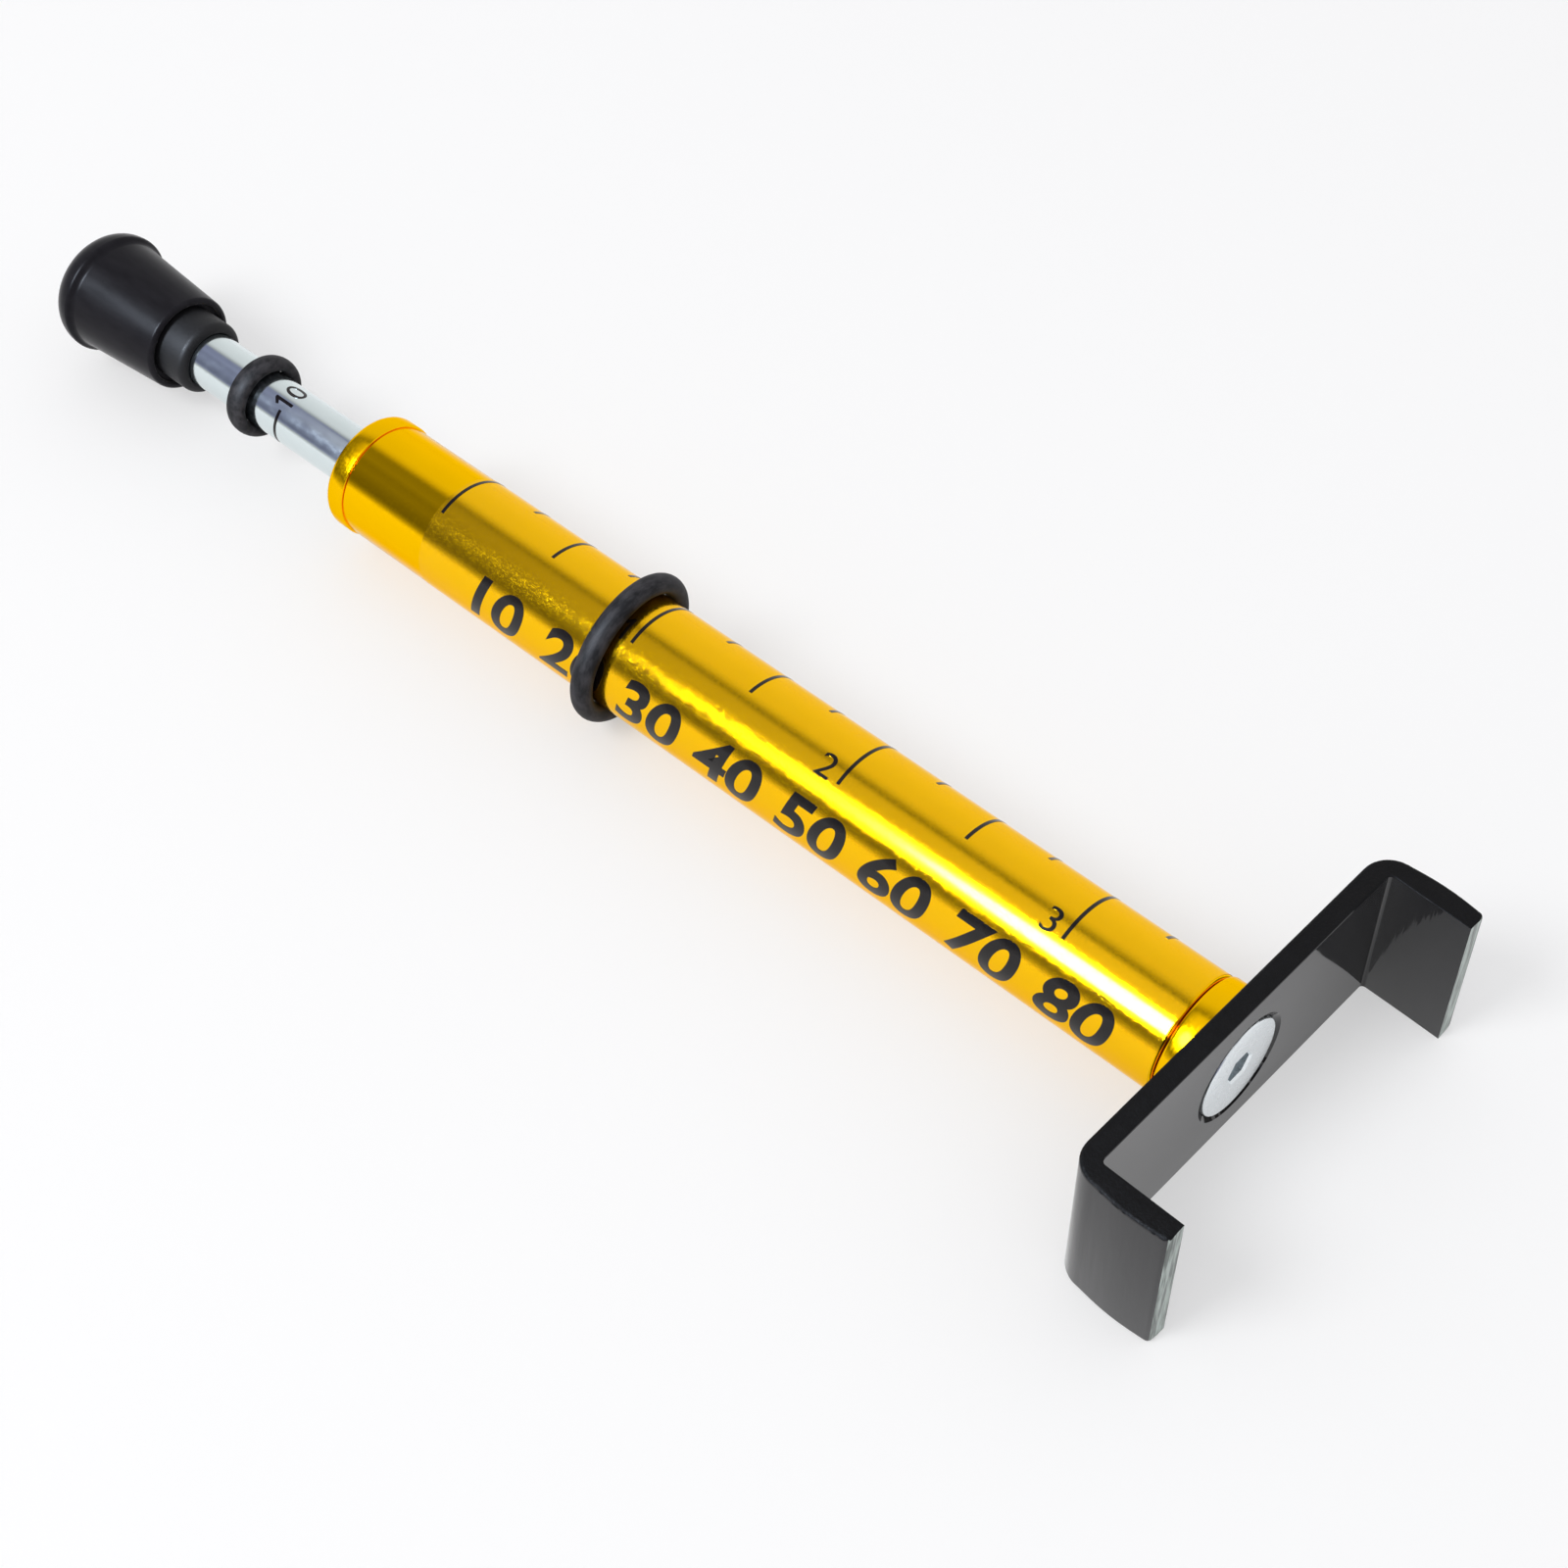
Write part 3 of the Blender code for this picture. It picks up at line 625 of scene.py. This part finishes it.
def rod_bar():
    """The rod, with a thinner tail for the follower and a groove in it for the clip."""
    shoulder = FOLLOWER_START - GAP
    groove = (CLIP_START - GAP, CLIP_END + GAP)
    corners = [(ROD_START, 0), (ROD_START, ROD_RADIUS, WIDE_ROUND), (shoulder, ROD_RADIUS, FINE_ROUND),
               (shoulder, TAIL_RADIUS), (groove[0], TAIL_RADIUS), (groove[0], GROOVE_RADIUS),
               (groove[1], GROOVE_RADIUS), (groove[1], TAIL_RADIUS), (ROD_END, TAIL_RADIUS, WIDE_ROUND),
               (ROD_END, 0)]
    turned("rod_bar", corners, STEEL, "plunger", "plunger_rod", closed=False)


def follower_piston():
    inner = TAIL_RADIUS + TOUCH
    shoulder = FOLLOWER_END - PILOT_LENGTH
    corners = [(FOLLOWER_START, inner, FINE_ROUND), (FOLLOWER_START, SPIGOT_RADIUS, PLAIN_ROUND),
               (shoulder, SPIGOT_RADIUS, FINE_ROUND), (shoulder, PILOT_RADIUS),
               (FOLLOWER_END, PILOT_RADIUS, WIDE_ROUND), (FOLLOWER_END, inner, FINE_ROUND)]
    turned("follower_piston", corners, ZINC, "follower", "spring_follower", steps=INNER_STEPS)


def snap_ring():
    """The clip in the rod's groove: a flat ring, open underneath."""
    inner = GROOVE_RADIUS + GAP
    places = [Vector((along, 0, AXIS_HEIGHT - radius)) for along, radius in
              ((CLIP_START, inner), (CLIP_START, CLIP_RADIUS), (CLIP_END, CLIP_RADIUS), (CLIP_END, inner))]
    draw_outline(places, [CLIP_ROUND] * 4)
    bpy.ops.mesh.edge_face_add()
    half_mouth = math.radians(CLIP_HALF_MOUTH)
    bpy.ops.transform.rotate(value=-half_mouth, orient_axis="X", center_override=(0, 0, AXIS_HEIGHT))
    bpy.ops.mesh.spin(steps=CLIP_STEPS, angle=2 * half_mouth - math.tau, center=(0, 0, AXIS_HEIGHT),
                      axis=(1, 0, 0))
    finish_piece("snap_ring", WIRE, "plunger", "follower_clip")


def knob():
    """The grip on its ferrule, whose round-nosed neck stands out in front."""
    bore = ROD_RADIUS + TOUCH
    bore_end = ROD_START - GAP
    corners = [(bore_end, 0), (bore_end, bore), (NOSE_FACE, bore, EDGE), (NOSE_FACE, NECK_RADIUS, NOSE_ROUND),
               (FERRULE_END, NECK_RADIUS, FINE_ROUND), (FERRULE_END, 0)]
    turned("ferrule", corners, PLASTIC, "plunger", "knob_core", closed=False)
    pocket = NECK_RADIUS + TOUCH
    pocket_end = FERRULE_END - GAP
    rim = GRIP_END + GRIP_RIM_LENGTH
    mouth = GRIP_FRONT - GRIP_MOUTH_DEPTH
    corners = [(pocket_end, 0), (pocket_end, pocket), (mouth, pocket), (mouth, GRIP_MOUTH_RADIUS, EDGE),
               (GRIP_FRONT, GRIP_MOUTH_RADIUS, EDGE), (GRIP_FRONT, GRIP_FRONT_RADIUS, WIDE_ROUND),
               (rim + GRIP_RIM_STEP, GRIP_BACK_RADIUS, PLAIN_ROUND), (rim, GRIP_RIM_RADIUS, FINE_ROUND),
               (GRIP_END, GRIP_RIM_RADIUS, DOME_ROUND), (GRIP_END, 0)]
    turned("rubber_grip", corners, RUBBER, "plunger", "grip_knob", closed=False,
           smooth_angle=50)


def rubber_ring(name, solid, body, inner, start, end, outer, lean=0.0):
    """A rubber ring of slightly flattened round section. A leaning ring's top is pushed along the gauge."""
    deselect()
    bpy.ops.mesh.primitive_circle_add(vertices=RING_POINTS, radius=0.5, rotation=(math.pi / 2, 0, 0))
    bpy.ops.object.transform_apply(rotation=True)
    edit()
    bpy.ops.transform.resize(value=(end - start, 1, outer - inner))
    bpy.ops.transform.translate(value=((start + end) / 2, 0, AXIS_HEIGHT + (inner + outer) / 2))
    bpy.ops.mesh.spin(steps=ROUND_STEPS, angle=math.tau, center=(0, 0, AXIS_HEIGHT), axis=(1, 0, 0))
    bpy.ops.object.mode_set(mode="OBJECT")
    for vert in bpy.context.object.data.vertices:
        around = math.atan2(vert.co.z - AXIS_HEIGHT, vert.co.y)
        vert.co.x += lean * math.cos(around - math.radians(RING_LEAN_ANGLE))
    finish_piece(name, RING_RUBBER, body, solid, 60)


rod_bar()
follower_piston()
snap_ring()
knob()
rubber_ring("reading_ring", "rod_o_ring", "force_ring", ROD_RADIUS + TOUCH, ROD_RING_START, ROD_RING_END,
            ROD_RING_RADIUS)
rubber_ring("marker_ring", "barrel_o_ring", "deflection_ring", BARREL_RADIUS + 2 * TOUCH, BARREL_RING_START,
            BARREL_RING_END, BARREL_RING_RADIUS, lean=RING_LEAN)


# Cradle

def cradle_strip():
    """The strip bent to a U: its outline from above, raised to the strip's width, rounded and pierced.

    The legs bulge a little, and the bends are a little out of square, as in the photograph.
    """
    back, tip = CRADLE_LOW.x, CRADLE_HIGH.x
    half = CRADLE_HIGH.y
    face = back + SHEET
    inner = half - SHEET
    corners = [(back, -half, OUTER_BEND), (back, half, OUTER_BEND), (tip, half, TIP_ROUND), (tip, inner, 0),
               (face, inner, INNER_BEND), (face, -inner, INNER_BEND), (tip, -inner, 0), (tip, -half, TIP_ROUND)]
    draw_outline([Vector((x, y, 0)) for x, y, _ in corners], [size for _, _, size in corners])
    pick("EDGE", lambda edge: abs(middle_of(edge).y) > half - TOUCH and edge.calc_length() > SHEET)
    bpy.ops.mesh.subdivide(number_cuts=LEG_CUTS)
    bpy.ops.mesh.select_all(action="SELECT")
    bpy.ops.mesh.edge_face_add()
    width = CRADLE_HIGH.z - CRADLE_LOW.z
    bpy.ops.mesh.extrude_region_move(TRANSFORM_OT_translate={"value": (0, 0, width)})
    level = lambda edge: edge.verts[0].co.z == edge.verts[1].co.z
    outside = lambda place: place.x < face - TOUCH or abs(place.y) > half - TIP_ROUND
    pick("EDGE", lambda edge: level(edge) and outside(middle_of(edge)))
    bpy.ops.mesh.bevel(offset=OUTER_EDGE_ROUND, segments=5)
    tip_corner = lambda place: place.x > tip - TOUCH and abs(place.y) < inner + TOUCH
    pick("EDGE", lambda edge: edge.calc_face_angle(0) > 1 and (level(edge) or tip_corner(middle_of(edge))))
    bpy.ops.mesh.bevel(offset=INNER_EDGE_ROUND, segments=2)
    bpy.ops.mesh.select_all(action="SELECT")
    # The first bevel runs out along the tips and leaves doubled corners
    bpy.ops.mesh.remove_doubles(threshold=WELD)
    bpy.ops.mesh.dissolve_degenerate(threshold=WELD)
    bpy.ops.mesh.normals_make_consistent(inside=False)
    bpy.ops.object.mode_set(mode="OBJECT")
    strip = bpy.context.object
    overrun = 0.001
    deselect()
    bpy.ops.mesh.primitive_cone_add(vertices=ROUND_STEPS, radius1=COUNTERSINK_RADIUS - SHEET - overrun,
                                    radius2=COUNTERSINK_RADIUS + overrun, depth=SHEET + 2 * overrun,
                                    location=(back + SHEET / 2, 0, AXIS_HEIGHT), rotation=(0, math.pi / 2, 0))
    cut(strip, bpy.context.object)
    for vert in strip.data.vertices:
        x, y, z = vert.co
        share = min(max((x - back - OUTER_BEND) / (tip - TIP_ROUND - back - OUTER_BEND), 0), 1)
        bulge = LEG_BULGE * math.sin(math.pi * share) if abs(y) > half - BULGE_DEPTH else 0
        vert.co = (x + WEB_TURN * y, y + math.copysign(bulge, y) - LEG_TURN * (x - face), z)
    piece = finish_piece("cradle_strip", ENAMEL, "barrel", "belt_cradle", 20)
    piece.data.materials.append(SHEARED)
    piece.data.materials.append(CUT_END)
    for facet in piece.data.polygons:
        if abs(facet.normal.z) > 0.5 + 0.4 * noise_at(facet.center / TORN_GRAIN):
            facet.material_index = 1
        # The legs' end faces take the cut-end paint, whose pale tone is partly painted reflection
        elif facet.normal.x > 0.7 and facet.center.x > tip - CUT_END_DEPTH:
            facet.material_index = 2


def countersunk_screw():
    """The screw's head lies level with the cradle's face. Its hexagon socket has a chamfered mouth."""
    cone_start = SCREW_TOP - SCREW_HEAD_RIM
    cone_end = cone_start - (SCREW_HEAD_RADIUS - SCREW_RADIUS)
    corners = [(SCREW_TOP, 0), (SCREW_TOP, SCREW_HEAD_RADIUS, SCREW_HEAD_ROUND),
               (cone_start, SCREW_HEAD_RADIUS), (cone_end, SCREW_RADIUS),
               (SCREW_TIP, SCREW_RADIUS, SCREW_TIP_ROUND), (SCREW_TIP, 0)]
    screw = turned("countersunk_screw", corners, ZINC, "barrel", "cradle_screw", closed=False)
    middle = SCREW_TOP - (SOCKET_DEPTH + SOCKET_CHAMFER) / 2
    deselect()
    bpy.ops.mesh.primitive_cylinder_add(vertices=6, radius=SOCKET_RADIUS, depth=SOCKET_DEPTH,
                                        location=(middle, 0, AXIS_HEIGHT), rotation=(0, math.pi / 2, 0))
    bpy.ops.object.transform_apply(location=True, rotation=True)
    edit("FACE")
    pick("FACE", lambda face: face.normal.x > 0.9)
    bpy.ops.mesh.extrude_region_move(TRANSFORM_OT_translate={"value": (SOCKET_CHAMFER, 0, 0)})
    flare = 1 + SOCKET_CHAMFER / SOCKET_RADIUS
    bpy.ops.transform.resize(value=(1, flare, flare))
    bpy.ops.object.mode_set(mode="OBJECT")
    cut(screw, bpy.context.object)
    bpy.ops.object.shade_smooth_by_angle(angle=math.radians(SMOOTH_ANGLE))


cradle_strip()
countersunk_screw()


# Prints

def wrap(piece, radius, place, angle, sideways=False):
    """Wrap a flat shape round the axis from its lower left corner. A sideways shape reads round the gauge."""
    bpy.context.view_layer.objects.active = piece
    edit()
    bent = 0 if sideways else 1
    spots = [vert.co[bent] for vert in piece.data.vertices]
    low, high = min(spots), max(spots)
    normal = Vector((sideways, not sideways, 0))
    slices = max(3, round((high - low) / radius / math.radians(WRAP_STEP)))
    for step in range(1, slices):
        bpy.ops.mesh.select_all(action="SELECT")
        bpy.ops.mesh.bisect(plane_co=normal * (low + (high - low) * step / slices), plane_no=normal)
    bpy.ops.object.mode_set(mode="OBJECT")
    for vert in piece.data.vertices:
        across, up, out = vert.co
        along = place - up if sideways else place + across
        around = math.radians(angle) - (across if sideways else up) / radius
        vert.co = (along, (radius + out) * math.cos(around), AXIS_HEIGHT + (radius + out) * math.sin(around))
    return piece


def flat_text(words, height, wide=1.0, slant=0.0, fattening=0.0):
    """Numbers as thin flat shapes.

    The walls of their outlines are pushed out to fatten them, then covered on both sides.
    """
    deselect()
    bpy.ops.object.text_add()
    text = bpy.context.object
    text.data.body = words
    text.data.size = height / CAP_HEIGHT_SHARE
    text.data.shear = slant
    text.data.fill_mode = "NONE"
    text.data.extrude = INK_THICKNESS / 2
    bpy.ops.object.convert(target="MESH")
    edit()
    bpy.ops.mesh.remove_doubles(threshold=INK_WELD)
    bpy.ops.transform.shrink_fatten(value=fattening, use_even_offset=True)
    for side in (-1, 1):
        pick("EDGE", lambda edge: all(vert.co.z * side > 0 for vert in edge.verts))
        bpy.ops.mesh.fill(use_beauty=True)
    bpy.ops.mesh.select_all(action="SELECT")
    bpy.ops.transform.resize(value=(wide, 1, 1), center_override=(0, 0, 0))
    bpy.ops.object.mode_set(mode="OBJECT")
    return bpy.context.object


def numeral_one(height):
    """A plain 1 with a flag, as wide as a third of its height."""
    corners = [(0.20, 0), (0.34, 0), (0.34, 1), (0.22, 1), (0.0, 0.78), (0.05, 0.66), (0.20, 0.76)]
    draw_outline([Vector((across * height, up * height, -INK_THICKNESS / 2)) for across, up in corners])
    bpy.ops.mesh.edge_face_add()
    bpy.ops.mesh.extrude_region_move(TRANSFORM_OT_translate={"value": (0, 0, INK_THICKNESS)})
    bpy.ops.object.mode_set(mode="OBJECT")
    return bpy.context.object


def printed_arc(place, start, end, radius):
    """An arc of ink round the axis: a thin strip spun from its first angle to its last."""
    deselect()
    bpy.ops.mesh.primitive_plane_add(size=1)
    edit("FACE")
    bpy.ops.transform.resize(value=(MARK_WIDTH, INK_THICKNESS, 1))
    bpy.ops.transform.translate(value=(place, radius, AXIS_HEIGHT))
    bpy.ops.transform.rotate(value=-math.radians(start), orient_axis="X",
                             center_override=(place, 0, AXIS_HEIGHT))
    bpy.ops.mesh.spin(steps=max(8, round((end - start) / ARC_STEP)), angle=-math.radians(end - start),
                      center=(place, 0, AXIS_HEIGHT), axis=(1, 0, 0))
    bpy.ops.object.mode_set(mode="OBJECT")
    return bpy.context.object


def finish_prints(name, prints, body):
    join_pieces(prints)
    finish_piece(name, INK, body, None, 60)


def barrel_scales():
    """The inch scale over the back and top, and bold millimetres along the front, from the same zero."""
    radius = BARREL_RADIUS + FILM_THICKNESS + INK_THICKNESS / 2
    arcs = []
    for quarter in range(MARK_COUNT):
        place = ZERO_MARK + quarter * INCH / 4
        end = MARK_ENDS.get(quarter % 4, QUARTER_MARK_END)
        arcs.append(printed_arc(place, SCALE_BACK_ANGLE, end, radius))
    finish_prints("inch_marks", arcs, "barrel")
    digits = []
    for number in (1, 2, 3):
        if number == 1:
            digit = numeral_one(INCH_DIGIT_HEIGHT)
        else:
            digit = flat_text(str(number), INCH_DIGIT_HEIGHT, INCH_DIGIT_WIDTH)
        room = INCH_DIGIT_ROOM + max(vert.co.x for vert in digit.data.vertices)
        digits.append(wrap(digit, radius, ZERO_MARK + number * INCH - room, INCH_DIGIT_BASE))
    finish_prints("inch_numbers", digits, "barrel")
    bold = []
    for number in range(1, BOLD_COUNT + 1):
        text = flat_text(str(10 * number), BOLD_DIGIT_HEIGHT, BOLD_DIGIT_WIDTH, BOLD_SLANT, BOLD_FATTENING)
        spots = [vert.co.x for vert in text.data.vertices]
        middle = (min(spots) + max(spots)) / 2
        bold.append(wrap(text, radius, ZERO_MARK + number * TEN_MILLIMETRES - middle, BOLD_DIGIT_BASE))
    finish_prints("millimetre_numbers", bold, "barrel")


def rod_scale():
    """The force scale's mark and number at the end of the rod."""
    radius = ROD_RADIUS + INK_THICKNESS / 2
    mark = printed_arc(ROD_MARK, *ROD_MARK_ENDS, radius)
    one = wrap(numeral_one(ROD_DIGIT_HEIGHT), radius, ROD_DIGIT_BASE, ROD_ONE_START, sideways=True)
    nought = wrap(flat_text("0", ROD_DIGIT_HEIGHT), radius, ROD_DIGIT_BASE, ROD_NOUGHT_START, sideways=True)
    finish_prints("force_scale", [mark, one, nought], "plunger")


barrel_scales()
rod_scale()


# Stage

# How bright the room's walls and ceiling look in the gauge, by angle from the back over the top to the front
ROOM_LEVELS = [(0, 0.92), (14, 0.90), (45, 0.82), (62, 0.79), (68, 0.72), (73, 0.62), (78, 0.42), (84, 0.24),
               (90, 0.235), (104, 0.26), (116, 0.20), (132, 0.22), (150, 0.165), (162, 0.15), (168, 0.23),
               (174, 0.48), (180, 0.94)]
CEILING_LEVEL = 0.3
CEILING_TINT = (1.0, 1.04, 1.50)
PLAIN_ROOM = (0.70, 0.70, 0.71, 1)
PAPER = (0.93, 0.93, 0.94, 1)
PAPER_SIZE = 6
PAPER_GLOW = 0.46

# The ceiling round the lamp is lit: how much, from where to where along the gauge, and by angle where it
# starts and where it ends
GLOW_LEVEL = 0.85
GLOW_ALONG = (-0.60, -0.31)
GLOW_START = (84 / 180, 92 / 180)
GLOW_FINISH = (116 / 180, 142 / 180)

# Lamps and camera
SOFT_LAMP_TOWARDS = (-0.277, -0.614, 0.739)
BRIGHT_LAMP_TOWARDS = (-0.277, -0.676, 0.683)
LAMP_DISTANCE = 0.9
CAMERA_LENS = 64.70
CAMERA_PLACE = (0.13306, -0.12381, 0.20426)
CAMERA_TURN = (39.932, 0.189, 42.268)


def paper_floor():
    """White paper that glows a little where it is looked at, so that its shadows stay faint."""
    deselect()
    bpy.ops.mesh.primitive_plane_add(size=PAPER_SIZE)
    floor = bpy.context.object
    floor.name = "floor"
    surface, tree, shader = principled("floor_paper", Base_Color=PAPER, Roughness=0.9, Specular_IOR_Level=0.0)
    seen = node(tree, "LightPath").outputs
    looked_at = calculate(tree, "MAXIMUM", seen["Is Camera Ray"], seen["Is Glossy Ray"])
    looked_at = calculate(tree, "MAXIMUM", looked_at, seen["Is Transmission Ray"])
    share = calculate(tree, "MULTIPLY", looked_at, PAPER_GLOW)
    glow = node(tree, "Emission", {"Color": (1.0, 1.0, 1.0, 1)}).outputs[0]
    mixed = node(tree, "MixShader", {0: share, 1: shader.outputs[0], 2: glow}).outputs[0]
    tree.links.new(mixed, tree.nodes["Material Output"].inputs["Surface"])
    floor.data.materials.append(surface)


def white_room():
    """A white room. The gauge reflects it as the photograph shows: bright walls and a dim, bluish ceiling."""
    world = bpy.data.worlds.new("white_room")
    bpy.context.scene.world = world
    world.use_nodes = True
    tree = world.node_tree
    tree.nodes.clear()
    apart = node(tree, "SeparateXYZ", {"Vector": node(tree, "TexCoord").outputs["Generated"]}).outputs
    turn = calculate(tree, "DIVIDE", calculate(tree, "ARCTAN2", apart["Z"], apart["Y"]), math.pi)
    walls = node(tree, "ValToRGB", {"Fac": turn})
    stops = walls.color_ramp.elements
    for angle, _ in ROOM_LEVELS[1:-1]:
        stops.new(angle / 180)
    for stop, (angle, level) in zip(stops, ROOM_LEVELS):
        tint = CEILING_TINT if level < CEILING_LEVEL else (1, 1, 1)
        stop.position = angle / 180
        stop.color = (*(level * part for part in tint), 1)
    glow = calculate(tree, "MULTIPLY", spread(tree, apart["X"], 0.0, 1.0, *GLOW_ALONG),
                     calculate(tree, "MULTIPLY", spread(tree, turn, 0.0, 1.0, *GLOW_START),
                               spread(tree, turn, 1.0, 0.0, *GLOW_FINISH)))
    lit = node(tree, "Mix", {0: glow, 6: walls.outputs[0], 7: (GLOW_LEVEL, GLOW_LEVEL, GLOW_LEVEL, 1)},
               data_type="RGBA")
    path = node(tree, "LightPath").outputs
    plain = calculate(tree, "MAXIMUM", path["Is Diffuse Ray"], path["Is Camera Ray"])
    colour = node(tree, "Mix", {0: plain, 6: lit.outputs[2], 7: PLAIN_ROOM}, data_type="RGBA")
    background = node(tree, "Background", {"Color": colour.outputs[2]})
    tree.links.new(background.outputs[0], node(tree, "OutputWorld").inputs["Surface"])


def lamp(name, towards, size, energy, shown_in, colour=(1, 1, 1)):
    """An area lamp that shines on the barrel's end, seen either by diffuse or by glossy rays.

    Its size is given along the gauge and round it. Towards is the way from the barrel's end to the lamp.
    """
    light = bpy.data.lights.new(name, "AREA")
    light.shape = "ELLIPSE"
    light.size, light.size_y = size
    light.energy = energy
    light.color = colour
    held = bpy.data.objects.new(name, light)
    bpy.context.scene.collection.objects.link(held)
    towards = Vector(towards).normalized()
    across = towards.cross((1, 0, 0)).normalized()
    along = across.cross(towards)
    held.location = Vector((BARREL_END, 0, AXIS_HEIGHT)) + towards * LAMP_DISTANCE
    held.rotation_euler = Matrix((along, across, towards)).transposed().to_euler()
    held.visible_diffuse = shown_in == "diffuse"
    held.visible_glossy = shown_in == "glossy"
    held.visible_camera = False
    return light


def camera():
    """The photograph's view: from the cradle's side, above and in front."""
    lens = bpy.data.cameras.new("camera")
    lens.lens = CAMERA_LENS
    lens.sensor_width = 36
    lens.clip_start = 0.01
    held = bpy.data.objects.new("camera", lens)
    bpy.context.scene.collection.objects.link(held)
    held.location = CAMERA_PLACE
    held.rotation_euler = [math.radians(angle) for angle in CAMERA_TURN]
    bpy.context.scene.camera = held


paper_floor()
white_room()
lamp("soft_lamp", SOFT_LAMP_TOWARDS, (0.40, 0.40), 3.4, "diffuse")
bright = lamp("bright_lamp", BRIGHT_LAMP_TOWARDS, (0.24, 0.36), 32.0, "glossy", (0.75, 0.85, 1.0))
bright.cycles.max_bounces = 0
camera()
bpy.context.scene.view_settings.view_transform = "Standard"
